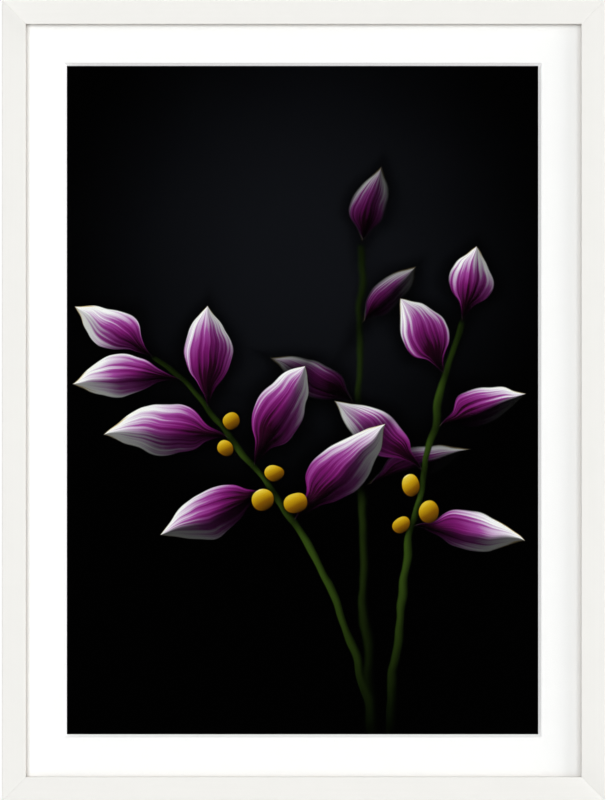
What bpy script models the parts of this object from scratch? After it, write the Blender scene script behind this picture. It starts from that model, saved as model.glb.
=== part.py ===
"""A framed print, ready to hang on a wall.

Four mitred rails of white-painted moulding hold, from the front, a sheet of glass, a mat with a bevelled
window, the print, its mount board and a backing board. Framer's points keep that stack in, V-nails pin
the mitres, and a sawtooth hanger and two rubber bumpers are fixed to the back.

Metres, +Z up. The front faces -Y, and the wall is the plane y = 0. The origin is on the wall, level with
the top of the hanger's middle notch.
"""

import math

import bmesh
import bpy
from mathutils import Matrix, Vector

# Driving dimensions: the sheet and the mat
SHEET_WIDTH = 0.297
SHEET_HEIGHT = 0.420
SIDE_OVERLAP = 0.003
END_OVERLAP = 0.0035
MAT_MARGIN = 0.026

# Driving dimensions: the moulding
RAIL_FACE = 0.015
RAIL_DEPTH = 0.020
LIP_THICKNESS = 0.0035
RABBET_WIDTH = 0.006
RABBET_ALLOWANCE = 0.002
FRONT_EASE = 0.0011
BACK_EASE = 0.0005
EASE_SEGMENTS = 3

# Driving dimensions: the stack in the rabbet
GLASS_THICKNESS = 0.002
MAT_THICKNESS = 0.0019
PRINT_THICKNESS = 0.00025
TAPE_THICKNESS = 0.0002
MOUNT_BOARD_THICKNESS = 0.003
BACKING_THICKNESS = 0.0025

# Driving dimensions: the hinge tapes at the top of the print
TAPE_WIDTH = 0.030
TAPE_ON_PRINT = 0.008
TAPE_ON_MAT = 0.012
TAPE_STEP_START = 0.0004
TAPE_STEP_END = 0.0010
TAPE_SPACING = 0.180

# Driving dimensions: the framer's points and the V-nails
POINT_LENGTH = 0.016
POINT_WIDTH = 0.0065
POINT_THICKNESS = 0.0004
POINT_IN_WOOD = 0.0065
POINT_CORNER = 0.0018
SIDE_POINT_COUNT = 4
END_POINT_COUNT = 3
V_NAIL_WING = 0.004
V_NAIL_DEPTH = 0.007
V_NAIL_THICKNESS = 0.0006
V_NAIL_REACH = 0.0085
V_NAIL_HALF_ANGLE = math.radians(60)

# Driving dimensions: what is fixed to the back
BUMPER_RADIUS = 0.004
BUMPER_FLAT_RADIUS = 0.0026
BUMPER_HEIGHT = 0.0025
BUMPER_FROM_CORNER = 0.024
HANGER_LENGTH = 0.045
HANGER_HEIGHT = 0.008
HANGER_SHEET = 0.0008
HANGER_RISE = 0.0011
HANGER_EAR = 0.0075
HANGER_BEND = 0.0012
HANGER_CORNER = 0.0022
NOTCH_DEPTH = 0.0012
NOTCH_PITCH = 0.0028
NOTCH_COUNT = 9
NAIL_HEAD_RADIUS = 0.0019
NAIL_HEAD_HEIGHT = 0.0008
NAIL_RIM = 0.0002
NAIL_RADIUS = 0.0006
NAIL_LENGTH = 0.0085
NAIL_POINT = 0.0015
TURNED_STEPS = 32
ARC_STEPS = 5

# Touching pieces keep this gap, and a cutter runs this far past what it cuts
GAP = 0.0003
PAST = 0.001
MERGE_DISTANCE = 0.000001

# Sizes worked out from those above
WINDOW_WIDTH = SHEET_WIDTH - 2 * SIDE_OVERLAP
WINDOW_HEIGHT = SHEET_HEIGHT - 2 * END_OVERLAP
OUTER_WIDTH = WINDOW_WIDTH + 2 * (MAT_MARGIN + RAIL_FACE)
OUTER_HEIGHT = WINDOW_HEIGHT + 2 * (MAT_MARGIN + RAIL_FACE)
RAIL_BACK = RAIL_FACE - RABBET_WIDTH
STACK_WIDTH = OUTER_WIDTH - 2 * RAIL_BACK - RABBET_ALLOWANCE
STACK_HEIGHT = OUTER_HEIGHT - 2 * RAIL_BACK - RABBET_ALLOWANCE
STACK_DROP = RABBET_ALLOWANCE / 2 - GAP
MITRE_INSET = GAP / math.sqrt(2)

# Depths of each layer's front behind the frame's front
GLASS_DEPTH = LIP_THICKNESS + GAP
MAT_DEPTH = GLASS_DEPTH + GLASS_THICKNESS + GAP
PRINT_DEPTH = MAT_DEPTH + MAT_THICKNESS + GAP
TAPE_DEPTH = PRINT_DEPTH + PRINT_THICKNESS + GAP
MOUNT_BOARD_DEPTH = TAPE_DEPTH + TAPE_THICKNESS + GAP
BACKING_DEPTH = MOUNT_BOARD_DEPTH + MOUNT_BOARD_THICKNESS + GAP
POINT_DEPTH = BACKING_DEPTH + BACKING_THICKNESS + GAP
WALL_DEPTH = RAIL_DEPTH + GAP + BUMPER_HEIGHT

# The frame's centre: its top edge is above the origin, so that the middle notch comes level with it
TOP_ABOVE_NOTCH = (RAIL_BACK + HANGER_HEIGHT) / 2 - NOTCH_DEPTH
CENTRE = (0, -WALL_DEPTH, TOP_ABOVE_NOTCH - OUTER_HEIGHT / 2)


def new_collection(name):
    collection = bpy.data.collections.new(name)
    bpy.context.scene.collection.children.link(collection)
    return collection


def finish(name, colour, roughness, metallic=0.0, alpha=1.0):
    """A material for one kind of surface."""
    made = bpy.data.materials.new(name)
    made.use_nodes = True
    shader = made.node_tree.nodes["Principled BSDF"]
    shader.inputs["Base Color"].default_value = (*colour, 1.0)
    shader.inputs["Roughness"].default_value = roughness
    shader.inputs["Metallic"].default_value = metallic
    shader.inputs["Alpha"].default_value = alpha
    made.diffuse_color = (*colour, alpha)
    return made


def place(name, mesh, parent, location, turn=0.0, surface=None):
    """Puts a mesh at a place in its parent, turned about Y. With no surface, it is a cutter."""
    obj = bpy.data.objects.new(name, mesh)
    obj.parent = parent
    obj.location = location
    obj.rotation_euler = (0, turn, 0)
    if surface:
        PARTS.objects.link(obj)
        if not mesh.materials:
            mesh.materials.append(surface)
    else:
        CUTTERS.objects.link(obj)
        obj.hide_render = True
        obj.display_type = "WIRE"
    return obj


def to_mesh(name, bm):
    bmesh.ops.recalc_face_normals(bm, faces=bm.faces)
    mesh = bpy.data.meshes.new(name)
    bm.to_mesh(mesh)
    bm.free()
    return mesh


def ease(bm, geometry, radius, affect):
    """Rounds corners of a flat shape, or edges of a solid, to a radius."""
    bmesh.ops.bevel(
        bm, geom=geometry, offset=radius, segments=EASE_SEGMENTS, profile=0.5, affect=affect
    )


def box(name, width, depth, height):
    """A box centred on X and Z, with its front on y = 0."""
    bm = bmesh.new()
    size = Matrix.Diagonal((width, depth, height, 1))
    bmesh.ops.create_cube(bm, size=1, matrix=Matrix.Translation((0, depth / 2, 0)) @ size)
    return to_mesh(name, bm)


def strip(name, path, sweep, corner=0.0):
    """An open sheet: a line of points swept along a vector, with its four corners rounded if asked."""
    bm = bmesh.new()
    points = [bm.verts.new(point) for point in path]
    edges = [bm.edges.new(pair) for pair in zip(points, points[1:])]
    swept = bmesh.ops.extrude_edge_only(bm, edges=edges)["geom"]
    far_side = [item for item in swept if isinstance(item, bmesh.types.BMVert)]
    bmesh.ops.translate(bm, vec=sweep, verts=far_side)
    if corner:
        ease(bm, [vert for vert in bm.verts if len(vert.link_edges) == 2], corner, "VERTICES")
    return to_mesh(name, bm)


def thicken(obj, thickness):
    """Gives a sheet its thickness, half to each side."""
    solid = obj.modifiers.new("thickness", "SOLIDIFY")
    solid.thickness = thickness
    solid.offset = 0
    solid.use_even_offset = True


def turned(name, profile):
    """A profile of (radius, height) points, from the top down, for a screw modifier about Z."""
    bm = bmesh.new()
    points = [bm.verts.new((radius, 0, height)) for radius, height in profile]
    for pair in zip(points, points[1:]):
        bm.edges.new(pair)
    mesh = bpy.data.meshes.new(name)
    bm.to_mesh(mesh)
    bm.free()
    return mesh


def quarter_turn():
    """Sines and cosines at even steps through a quarter turn."""
    angles = [math.pi / 2 * step / ARC_STEPS for step in range(ARC_STEPS + 1)]
    return [(math.sin(angle), math.cos(angle)) for angle in angles]


def spin(obj):
    """Turns the profile about its axis, which then points out of the back of the frame."""
    screw = obj.modifiers.new("turning", "SCREW")
    screw.steps = TURNED_STEPS
    screw.render_steps = TURNED_STEPS
    screw.use_merge_vertices = True
    screw.merge_threshold = MERGE_DISTANCE
    screw.use_smooth_shade = True
    obj.rotation_euler = (-math.pi / 2, 0, 0)


def cut(obj, cutter):
    boolean = obj.modifiers.new(cutter.name, "BOOLEAN")
    boolean.operation = "DIFFERENCE"
    boolean.object = cutter


def moulding(name, length):
    """A mitred length of moulding along X, with its outer edge on z = 0 and its sight edge below.

    The section is an L: a thin lip across the whole face, and behind it what the rabbet leaves.
    """
    corners = [
        (0, 0, FRONT_EASE),
        (0, -RAIL_FACE, BACK_EASE),
        (LIP_THICKNESS, -RAIL_FACE, 0),
        (LIP_THICKNESS, -RAIL_BACK, 0),
        (RAIL_DEPTH, -RAIL_BACK, BACK_EASE),
        (RAIL_DEPTH, 0, BACK_EASE),
    ]
    bm = bmesh.new()
    section = [bm.verts.new((-length / 2, depth, inward)) for depth, inward, _ in corners]
    bm.faces.new(section)
    for vert, (_, _, radius) in zip(section, corners):
        if radius:
            ease(bm, [vert], radius, "VERTICES")
    swept = bmesh.ops.extrude_face_region(bm, geom=bm.faces[:])["geom"]
    far_end = [item for item in swept if isinstance(item, bmesh.types.BMVert)]
    bmesh.ops.translate(bm, vec=(length, 0, 0), verts=far_end)
    for vert in bm.verts:
        vert.co.x = math.copysign(length / 2 - MITRE_INSET + vert.co.z, vert.co.x)
    return to_mesh(name, bm)


def make_rails():
    """The four rails, by name. Each hangs its sight edge towards the frame's centre."""
    places = {
        "rail_top": (OUTER_WIDTH, (0, 0, OUTER_HEIGHT / 2), 0.0),
        "rail_right": (OUTER_HEIGHT, (OUTER_WIDTH / 2, 0, 0), math.pi / 2),
        "rail_bottom": (OUTER_WIDTH, (0, 0, -OUTER_HEIGHT / 2), math.pi),
        "rail_left": (OUTER_HEIGHT, (-OUTER_WIDTH / 2, 0, 0), -math.pi / 2),
    }
    paint = finish("frame_paint", (0.80, 0.79, 0.76), 0.45)
    return {
        name: place(name, moulding(name, length), centre, location, turn, paint)
        for name, (length, location, turn) in places.items()
    }


def make_points(rails):
    """Framer's points: steel tabs pushed into the rabbet's side, which lie over the backing board."""
    steel = finish("point_steel", (0.20, 0.20, 0.21), 0.4, 1.0)
    tab = box("point", POINT_WIDTH, POINT_THICKNESS, POINT_LENGTH)
    bm = bmesh.new()
    bm.from_mesh(tab)
    free_end = [
        edge
        for edge in bm.edges
        if all(vert.co.z < 0 for vert in edge.verts) and edge.verts[0].co.x == edge.verts[1].co.x
    ]
    ease(bm, free_end, POINT_CORNER, "EDGES")
    bm.to_mesh(tab)
    bm.free()
    slot_height = POINT_IN_WOOD + GAP + PAST
    slot = box("point_slot", POINT_WIDTH + 2 * GAP, POINT_THICKNESS + 2 * GAP, slot_height)
    tab_z = -RAIL_BACK + POINT_IN_WOOD - POINT_LENGTH / 2
    slot_z = -RAIL_BACK - PAST + slot_height / 2
    for side, rail in rails.items():
        upright = side in ("rail_left", "rail_right")
        count = SIDE_POINT_COUNT if upright else END_POINT_COUNT
        sight = (OUTER_HEIGHT if upright else OUTER_WIDTH) - 2 * RAIL_FACE
        for number in range(count):
            along = sight * ((number + 0.5) / count - 0.5)
            name = f"{side.replace('rail', 'point')}_{number + 1}"
            place(name, tab, rail, (along, POINT_DEPTH, tab_z), 0.0, steel)
            cut(rail, place(f"{name}_slot", slot, rail, (along, POINT_DEPTH - GAP, slot_z)))


def v_path(wing):
    """The fold of a V-nail, from one wing's tip to the other's, with the corner's mitre along -Z."""
    tip = Vector((wing * math.sin(V_NAIL_HALF_ANGLE), 0, wing * math.cos(V_NAIL_HALF_ANGLE)))
    fold = Vector((0, 0, -V_NAIL_REACH))
    return [fold + Vector((-tip.x, 0, tip.z)), fold, fold + tip]


def make_v_nails(rails):
    """Four folded steel strips, driven into the mitres from behind, each with a wing in either rail."""
    steel = finish("v_nail_steel", (0.45, 0.45, 0.46), 0.35, 1.0)
    nail_mesh = strip("v_nail", v_path(V_NAIL_WING), (0, V_NAIL_DEPTH, 0))
    slot_mesh = strip("v_nail_slot", v_path(V_NAIL_WING + GAP), (0, V_NAIL_DEPTH + GAP + PAST, 0))
    corners = [("top", "left"), ("top", "right"), ("bottom", "left"), ("bottom", "right")]
    for end, side in corners:
        right = 1 if side == "right" else -1
        up = 1 if end == "top" else -1
        turn = right * (math.pi / 4 if up == 1 else 3 * math.pi / 4)
        corner = Vector((right * OUTER_WIDTH / 2, RAIL_DEPTH - V_NAIL_DEPTH, up * OUTER_HEIGHT / 2))
        nail = place(f"v_nail_{end}_{side}", nail_mesh, centre, corner, turn, steel)
        thicken(nail, V_NAIL_THICKNESS)
        slot = place(f"v_nail_slot_{end}_{side}", slot_mesh, centre, corner - Vector((0, GAP, 0)), turn)
        thicken(slot, V_NAIL_THICKNESS + 2 * GAP)
        cut(rails[f"rail_{end}"], slot)
        cut(rails[f"rail_{side}"], slot)


def make_stack():
    """The glass, mount board and backing board, which rest on the bottom rail's rabbet."""
    clear_glass = finish("clear_glass", (0.95, 0.97, 0.96), 0.02, alpha=0.15)
    foam_board = finish("foam_board", (0.86, 0.86, 0.85), 0.7)
    hardboard = finish("hardboard", (0.26, 0.15, 0.08), 0.7)
    layers = {
        "glazing": (GLASS_THICKNESS, GLASS_DEPTH, clear_glass),
        "mount_board": (MOUNT_BOARD_THICKNESS, MOUNT_BOARD_DEPTH, foam_board),
        "backing_board": (BACKING_THICKNESS, BACKING_DEPTH, hardboard),
    }
    for name, (thickness, depth, surface) in layers.items():
        sheet = box(name, STACK_WIDTH, thickness, STACK_HEIGHT)
        place(name, sheet, centre, (0, depth, -STACK_DROP), surface=surface)


def make_mat():
    """The mat, with a window whose sides slope at 45 degrees, wider at the front."""
    board = finish("mat_board", (0.93, 0.93, 0.93), 0.85)
    sheet = box("mat", STACK_WIDTH, MAT_THICKNESS, STACK_HEIGHT)
    mat = place("mat", sheet, centre, (0, MAT_DEPTH, -STACK_DROP), surface=board)
    bm = bmesh.new()
    bmesh.ops.create_cube(bm, size=2)
    for vert in bm.verts:
        flare = MAT_THICKNESS + PAST if vert.co.y < 0 else -PAST
        vert.co.x *= WINDOW_WIDTH / 2 + flare
        vert.co.y = MAT_DEPTH + MAT_THICKNESS - flare
        vert.co.z *= WINDOW_HEIGHT / 2 + flare
    cut(mat, place("mat_window", to_mesh("mat_window", bm), centre, (0, 0, 0)))


def make_print():
    """The print, and the two tapes that hinge it from the back of the mat."""
    paper = finish("print_paper", (0.03, 0.03, 0.035), 0.35)
    sheet = box("print", SHEET_WIDTH, PRINT_THICKNESS, SHEET_HEIGHT)
    place("print", sheet, centre, (0, PRINT_DEPTH, 0), surface=paper)
    tape_paper = finish("tape_paper", (0.80, 0.77, 0.68), 0.8)
    on_print = TAPE_DEPTH + TAPE_THICKNESS / 2
    on_mat = MAT_DEPTH + MAT_THICKNESS + GAP + TAPE_THICKNESS / 2
    path = [
        Vector((0, on_print, -TAPE_ON_PRINT)),
        Vector((0, on_print, TAPE_STEP_START)),
        Vector((0, on_mat, TAPE_STEP_END)),
        Vector((0, on_mat, TAPE_ON_MAT)),
    ]
    mesh = strip("hinge_tape", path, (TAPE_WIDTH, 0, 0))
    for side, sign in (("left", -1), ("right", 1)):
        start = sign * TAPE_SPACING / 2 - TAPE_WIDTH / 2
        tape = place(f"hinge_tape_{side}", mesh, centre, (start, 0, SHEET_HEIGHT / 2), surface=tape_paper)
        thicken(tape, TAPE_THICKNESS)


def make_hanger(rail_top):
    """The sawtooth hanger: a bent strip with rounded ears, notched below, and nailed to the top rail."""
    zinc = finish("hanger_zinc", (0.62, 0.63, 0.64), 0.35, 1.0)
    low = HANGER_SHEET / 2
    high = low + HANGER_RISE
    half = HANGER_LENGTH / 2
    bend = half - HANGER_EAR
    right_half = [(bend - HANGER_BEND, high), (bend, low), (half, low)]
    left_half = [(-x, y) for x, y in reversed(right_half)]
    path = [Vector((x, y, -HANGER_HEIGHT / 2)) for x, y in left_half + right_half]
    ear_face = RAIL_DEPTH + GAP
    mesh = strip("hanger", path, (0, 0, HANGER_HEIGHT), HANGER_CORNER)
    hanger = place("hanger", mesh, rail_top, (0, ear_face, -RAIL_BACK / 2), surface=zinc)
    thicken(hanger, HANGER_SHEET)

    side = 2 * NOTCH_DEPTH
    bm = bmesh.new()
    square = Matrix.Rotation(math.pi / 4, 4, "Y") @ Matrix.Diagonal((side, 4 * HANGER_RISE, side, 1))
    bmesh.ops.create_cube(bm, size=1, matrix=square)
    first = -(NOTCH_COUNT - 1) / 2 * NOTCH_PITCH
    below = -HANGER_HEIGHT / 2 + NOTCH_DEPTH - side / math.sqrt(2)
    notches = place("hanger_notches", to_mesh("hanger_notches", bm), hanger, (first, high, below))
    array = notches.modifiers.new("row", "ARRAY")
    array.count = NOTCH_COUNT
    array.use_relative_offset = False
    array.use_constant_offset = True
    array.constant_offset_displace = (NOTCH_PITCH, 0, 0)
    cut(hanger, notches)

    dome = NAIL_HEAD_HEIGHT - NAIL_RIM
    head = [(NAIL_HEAD_RADIUS * sine, NAIL_RIM + dome * cosine) for sine, cosine in quarter_turn()]
    taper = NAIL_POINT - NAIL_LENGTH
    shank = [(NAIL_HEAD_RADIUS, 0), (NAIL_RADIUS, 0), (NAIL_RADIUS, taper), (0, -NAIL_LENGTH)]
    bore = NAIL_RADIUS + GAP
    drilled = [(0, PAST), (bore, PAST), (bore, -NAIL_LENGTH), (0, -NAIL_LENGTH - GAP)]
    nail_mesh = turned("hanger_nail", head + shank)
    hole_mesh = turned("hanger_nail_hole", drilled)
    for end, sign in (("left", -1), ("right", 1)):
        spot = (sign * (half - HANGER_EAR / 2), ear_face + HANGER_SHEET + GAP, -RAIL_BACK / 2)
        nail = place(f"hanger_nail_{end}", nail_mesh, rail_top, spot, surface=zinc)
        hole = place(f"hanger_nail_hole_{end}", hole_mesh, rail_top, spot)
        spin(nail)
        spin(hole)
        cut(hanger, hole)
        cut(rail_top, hole)


def make_bumpers(rail_bottom):
    """Two rubber bumpers on the back of the bottom rail, with a flat that meets the wall."""
    rubber = finish("bumper_rubber", (0.05, 0.05, 0.05), 0.8)
    shoulder = BUMPER_RADIUS - BUMPER_FLAT_RADIUS
    rounded = [
        (BUMPER_FLAT_RADIUS + shoulder * sine, BUMPER_HEIGHT - shoulder * (1 - cosine))
        for sine, cosine in quarter_turn()
    ]
    mesh = turned("bumper", [(0, BUMPER_HEIGHT), *rounded, (BUMPER_RADIUS, 0), (0, 0)])
    along = OUTER_WIDTH / 2 - BUMPER_FROM_CORNER
    for side, sign in (("left", 1), ("right", -1)):
        spot = (sign * along, RAIL_DEPTH + GAP, -RAIL_BACK / 2)
        spin(place(f"bumper_{side}", mesh, rail_bottom, spot, surface=rubber))


for leftover in list(bpy.data.objects):
    bpy.data.objects.remove(leftover, do_unlink=True)

PARTS = new_collection("framed_print")
CUTTERS = new_collection("cutters")
centre = bpy.data.objects.new("frame_centre", None)
centre.location = CENTRE
PARTS.objects.link(centre)

rails_by_name = make_rails()
make_points(rails_by_name)
make_v_nails(rails_by_name)
make_stack()
make_mat()
make_print()
make_hanger(rails_by_name["rail_top"])
make_bumpers(rails_by_name["rail_bottom"])
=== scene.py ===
"""The looks of a framed print: white mitred moulding, glass, a bevelled mat, the print, boards and fixings.

Metres, +Z up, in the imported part's frame. The front faces -Y, and the wall is the plane y = 0.
"""

import math

import bpy
import numpy as np
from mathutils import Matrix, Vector


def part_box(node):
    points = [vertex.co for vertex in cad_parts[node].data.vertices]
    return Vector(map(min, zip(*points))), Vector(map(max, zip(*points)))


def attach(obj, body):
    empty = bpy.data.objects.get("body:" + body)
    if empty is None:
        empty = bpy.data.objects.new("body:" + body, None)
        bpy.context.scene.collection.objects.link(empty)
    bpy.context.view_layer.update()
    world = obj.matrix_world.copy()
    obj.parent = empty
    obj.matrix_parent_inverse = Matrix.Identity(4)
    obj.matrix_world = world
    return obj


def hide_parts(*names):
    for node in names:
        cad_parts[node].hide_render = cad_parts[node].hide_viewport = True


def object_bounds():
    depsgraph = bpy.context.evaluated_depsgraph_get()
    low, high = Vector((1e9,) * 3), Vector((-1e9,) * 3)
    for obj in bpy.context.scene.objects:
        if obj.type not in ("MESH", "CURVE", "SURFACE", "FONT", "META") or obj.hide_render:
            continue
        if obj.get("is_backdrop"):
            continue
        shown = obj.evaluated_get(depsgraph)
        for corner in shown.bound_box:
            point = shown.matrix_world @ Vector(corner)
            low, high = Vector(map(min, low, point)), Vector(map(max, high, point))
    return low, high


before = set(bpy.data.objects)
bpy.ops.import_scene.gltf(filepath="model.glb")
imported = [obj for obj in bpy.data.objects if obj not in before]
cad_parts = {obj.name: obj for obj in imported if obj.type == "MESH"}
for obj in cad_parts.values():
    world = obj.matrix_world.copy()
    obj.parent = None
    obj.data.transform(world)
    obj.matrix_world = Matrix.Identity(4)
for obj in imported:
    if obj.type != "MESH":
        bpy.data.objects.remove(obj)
cad_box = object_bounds()


# The studio: a pale floor under the frame's lower edge, which fades into the pale surround where it is seen
# at a flat angle, and soft broad lights. The camera stands square to the glass, far off behind a long lens.
MM = 0.001
PHOTO_WIDTH = 606
PHOTO_HEIGHT = 800
FRAME_WIDTH_IN_PIXELS = 603
FRAME_CENTRE_PIXEL = (303.5, 400.5)
LENS = 400
SENSOR = 36
FLOOR_HALF_SIZE = 4.0
FLOOR_TONE = (238, 238, 236)
FLOOR_CLOUD = 50 * MM
FLOOR_FADE = (0.953, 0.93)
FRONT_LEVEL = 0.16
BEHIND_LEVEL = 0.45
BEHIND_RISE = (-0.1, 0.7)
SEEN_LEVEL = 1.0
UNMIRRORED_RISE = (-0.80, -0.95)
LIGHTS = [
    # name, where it comes from, spread in degrees, level, whether glossy surfaces mirror it
    ("light_from_front", (0.0, -1, 0.09), 42, 0.18, False),
    ("light_from_left", (-0.32, -1, 0.14), 28, 0.39, False),
    ("light_from_right", (0.44, -1, 0.14), 20, 0.15, False),
    ("light_from_far_right", (2.7, -1, 0.30), 38, 0.54, True),
    ("light_from_below", (0.0, -1, -1.2), 60, 0.09, False),
    ("light_from_behind", (-0.35, 0.8, 1.0), 36, 0.75, True),
]

low, high = cad_box
centre = (low + high) / 2
pixel = (high.x - low.x) / FRAME_WIDTH_IN_PIXELS
camera = bpy.data.objects.new("camera", bpy.data.cameras.new("camera"))
camera.data.lens = LENS
camera.data.sensor_width = SENSOR
camera.location = (
    centre.x + (PHOTO_WIDTH / 2 - FRAME_CENTRE_PIXEL[0]) * pixel,
    low.y - pixel * PHOTO_HEIGHT * LENS / SENSOR,
    centre.z + (FRAME_CENTRE_PIXEL[1] - PHOTO_HEIGHT / 2) * pixel,
)
camera.rotation_euler = (math.radians(90), 0, 0)
bpy.context.scene.collection.objects.link(camera)
bpy.context.scene.camera = camera
bpy.context.scene.view_settings.view_transform = "Standard"


class Wire:
    """One socket of a shader, used like a number: each sum in an expression adds its Math node."""

    def __init__(self, tree, socket=None):
        self.tree = tree
        self.socket = socket

    def node(self, kind, settings=(), sockets=(), output=0):
        """Adds a node: its settings first, then its sockets' values or wires. Gives one output's wire."""
        made = self.tree.nodes.new(kind)
        for name, value in dict(settings).items():
            if name == "stops":
                set_stops(made.color_ramp.elements, value)
            elif name == "curve":
                set_curve(made.mapping, value)
            else:
                setattr(made, name, value)
        for name, value in dict(sockets).items():
            if isinstance(value, Wire):
                self.tree.links.new(value.socket, made.inputs[name])
            else:
                made.inputs[name].default_value = value
        return Wire(self.tree, made.outputs[output])

    def math(self, operation, *values):
        return self.node("ShaderNodeMath", {"operation": operation}, enumerate(values))

    def __add__(self, other):
        return self.math("ADD", self, other)

    def __sub__(self, other):
        return self.math("SUBTRACT", self, other)

    def __mul__(self, other):
        return self.math("MULTIPLY", self, other)

    def __truediv__(self, other):
        return self.math("DIVIDE", self, other)

    def __abs__(self):
        return self.math("ABSOLUTE", self)

    def __radd__(self, other):
        return self.math("ADD", other, self)

    def __rsub__(self, other):
        return self.math("SUBTRACT", other, self)

    def __rmul__(self, other):
        return self.math("MULTIPLY", other, self)

    def plus_product(self, first, second):
        """This plus the product of two others, in one node."""
        return self.math("MULTIPLY_ADD", first, second, self)

    def smooth(self, start, end, most=1.0):
        """Rises softly from 0 where this is start to the most where it is end."""
        ranges = {"Value": self, "From Min": start, "From Max": end, "To Max": most}
        return self.node("ShaderNodeMapRange", {"interpolation_type": "SMOOTHSTEP"}, ranges)


def set_stops(elements, stops):
    """Gives a colour ramp its (place, colour) stops."""
    while len(elements) > 1:
        elements.remove(elements[-1])
    elements[0].position, elements[0].color = stops[0]
    for place, colour in stops[1:]:
        elements.new(place).color = colour


def set_curve(mapping, points):
    """Gives a float curve its (x, y) points."""
    curve = mapping.curves[0]
    curve.points[0].location = points[0]
    curve.points[-1].location = points[-1]
    for place in points[1:-1]:
        curve.points.new(*place)
    mapping.update()


def tone(red, green, blue, by=0):
    """A linear colour from the 0 to 255 levels that it shows as, with the same step added to all three."""
    levels = (np.array([red, green, blue]) + by) / 255
    linear = np.where(levels > 0.04045, ((levels + 0.055) / 1.055) ** 2.4, levels / 12.92)
    return (*linear.tolist(), 1.0)


def mix(amount, first, second):
    """The colour that goes from the first to the second as the amount goes from 0 to 1."""
    wire = next(value for value in (amount, first, second) if isinstance(value, Wire))
    return wire.node("ShaderNodeMix", {"data_type": "RGBA"}, {0: amount, 6: first, 7: second}, 2)


def finish(name, sockets):
    """A new material. The sockets given are the same all over the surface. Gives a wire to draw with."""
    material = bpy.data.materials.new(name)
    material.use_nodes = True
    shader = material.node_tree.nodes["Principled BSDF"]
    for socket, value in sockets.items():
        shader.inputs[socket].default_value = value
    return material, Wire(material.node_tree)


def shade(wire, sockets):
    """Links what changes over the surface to the material's shader."""
    shader = wire.tree.nodes["Principled BSDF"]
    for socket, value in sockets.items():
        wire.tree.links.new(value.socket, shader.inputs[socket])


def object_place(wire, *units, location=(0, 0, 0)):
    """The point on the piece, measured from a location in one unit for all ways, or in one for each."""
    place = wire.node("ShaderNodeTexCoord", output="Object")
    scale = units * 3 if len(units) == 1 else units
    sockets = {"Vector": place, "Location": location, "Scale": scale}
    return wire.node("ShaderNodeMapping", {"vector_type": "TEXTURE"}, sockets)


def noise(wire, place, detail=2.0, roughness=0.5):
    """Soft random variation, around 0.5."""
    sockets = {"Vector": place, "Scale": 1.0, "Detail": detail, "Roughness": roughness}
    return wire.node("ShaderNodeTexNoise", sockets=sockets)


def soft_sun(name, towards, spread, level, mirrored):
    """Light from far off, spread over an angle. It alone makes a white board facing it as bright as level."""
    towards = Vector(towards).normalized()
    light = bpy.data.lights.new(name, "SUN")
    light.angle = math.radians(spread)
    light.energy = level * math.pi
    lamp = bpy.data.objects.new(name, light)
    lamp.location = centre + towards
    lamp.rotation_euler = (-towards).to_track_quat("-Z", "Y").to_euler()
    lamp.visible_glossy = mirrored
    bpy.context.scene.collection.objects.link(lamp)


for light in LIGHTS:
    soft_sun(*light)

world = bpy.data.worlds.new("surround")
world.use_nodes = True
sky = Wire(world.node_tree)
seen = sky.node("ShaderNodeLightPath", output="Is Camera Ray")
mirrored = sky.node("ShaderNodeLightPath", output="Is Glossy Ray")
direction = sky.node("ShaderNodeTexCoord", output="Generated")
backward = sky.node("ShaderNodeSeparateXYZ", sockets={"Vector": direction}, output="Y")
level = FRONT_LEVEL + backward.smooth(*BEHIND_RISE, BEHIND_LEVEL - FRONT_LEVEL)
unmirrored = mirrored * backward.smooth(*UNMIRRORED_RISE)
level = level * (1.0 - unmirrored) * (1.0 - seen) + seen * SEEN_LEVEL
background = world.node_tree.nodes["Background"]
background.inputs["Color"].default_value = (1, 1, 1, 1)
world.node_tree.links.new(level.socket, background.inputs["Strength"])
bpy.context.scene.world = world

corners = [(-1, -1), (1, -1), (1, 1), (-1, 1)]
floor_points = [(x * FLOOR_HALF_SIZE, y * FLOOR_HALF_SIZE, low.z) for x, y in corners]
floor_mesh = bpy.data.meshes.new("floor")
floor_mesh.from_pydata(floor_points, [], [(0, 1, 2, 3)])
floor = bpy.data.objects.new("floor", floor_mesh)
bpy.context.scene.collection.objects.link(floor)
material, paint = finish("pale_floor", {"Roughness": 0.9, "Specular IOR Level": 0.0})
cloud = noise(paint, object_place(paint, FLOOR_CLOUD), 4.0)
flatness = paint.node("ShaderNodeLayerWeight", output="Facing")
shade(
    paint,
    {
        "Base Color": mix(cloud, tone(*FLOOR_TONE), tone(*FLOOR_TONE, by=-3)),
        "Alpha": flatness.smooth(*FLOOR_FADE),
    },
)
floor_mesh.materials.append(material)
floor.visible_glossy = floor.visible_diffuse = floor.visible_shadow = False
floor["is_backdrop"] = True


# The four rails are lengths of one planed pine moulding, mitred at the corners and sprayed satin off-white
# on the front and the outer side. Behind a thin lip, the rabbet and the back are bare wood. The sight edge,
# next to the mat, was sanded back a little before it was sprayed.
LIP_THICKNESS = 3.5 * MM
RABBET_WIDTH = 6 * MM
FRONT_EASE = 0.35 * MM
SIGHT_EASE = 0.35 * MM
SIGHT_SANDING = 0.4 * MM
BACK_EASE = 0.5 * MM
LIP_EASE = 0.2 * MM
EASE_STEPS = 8
BRACE = 0.25 * MM
SHARP_ANGLE = 35
MITRE_GAP = 0.015 * MM
MITRE_EASE = 0.06 * MM
MITRE_EASE_REACH = 0.25 * MM
MITRE_EASE_STEPS = 5
# Painted shade on the side rails and painted light on the top and bottom rails fade away from each mitre over
# this reach, on these rows.
MITRE_SHADING_REACH = 9 * MM
MITRE_SHADING_SPAN = (3, 45)
MITRE_SHADING_STEPS = 9
PAINT_TONE = (236, 235, 231)
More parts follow.
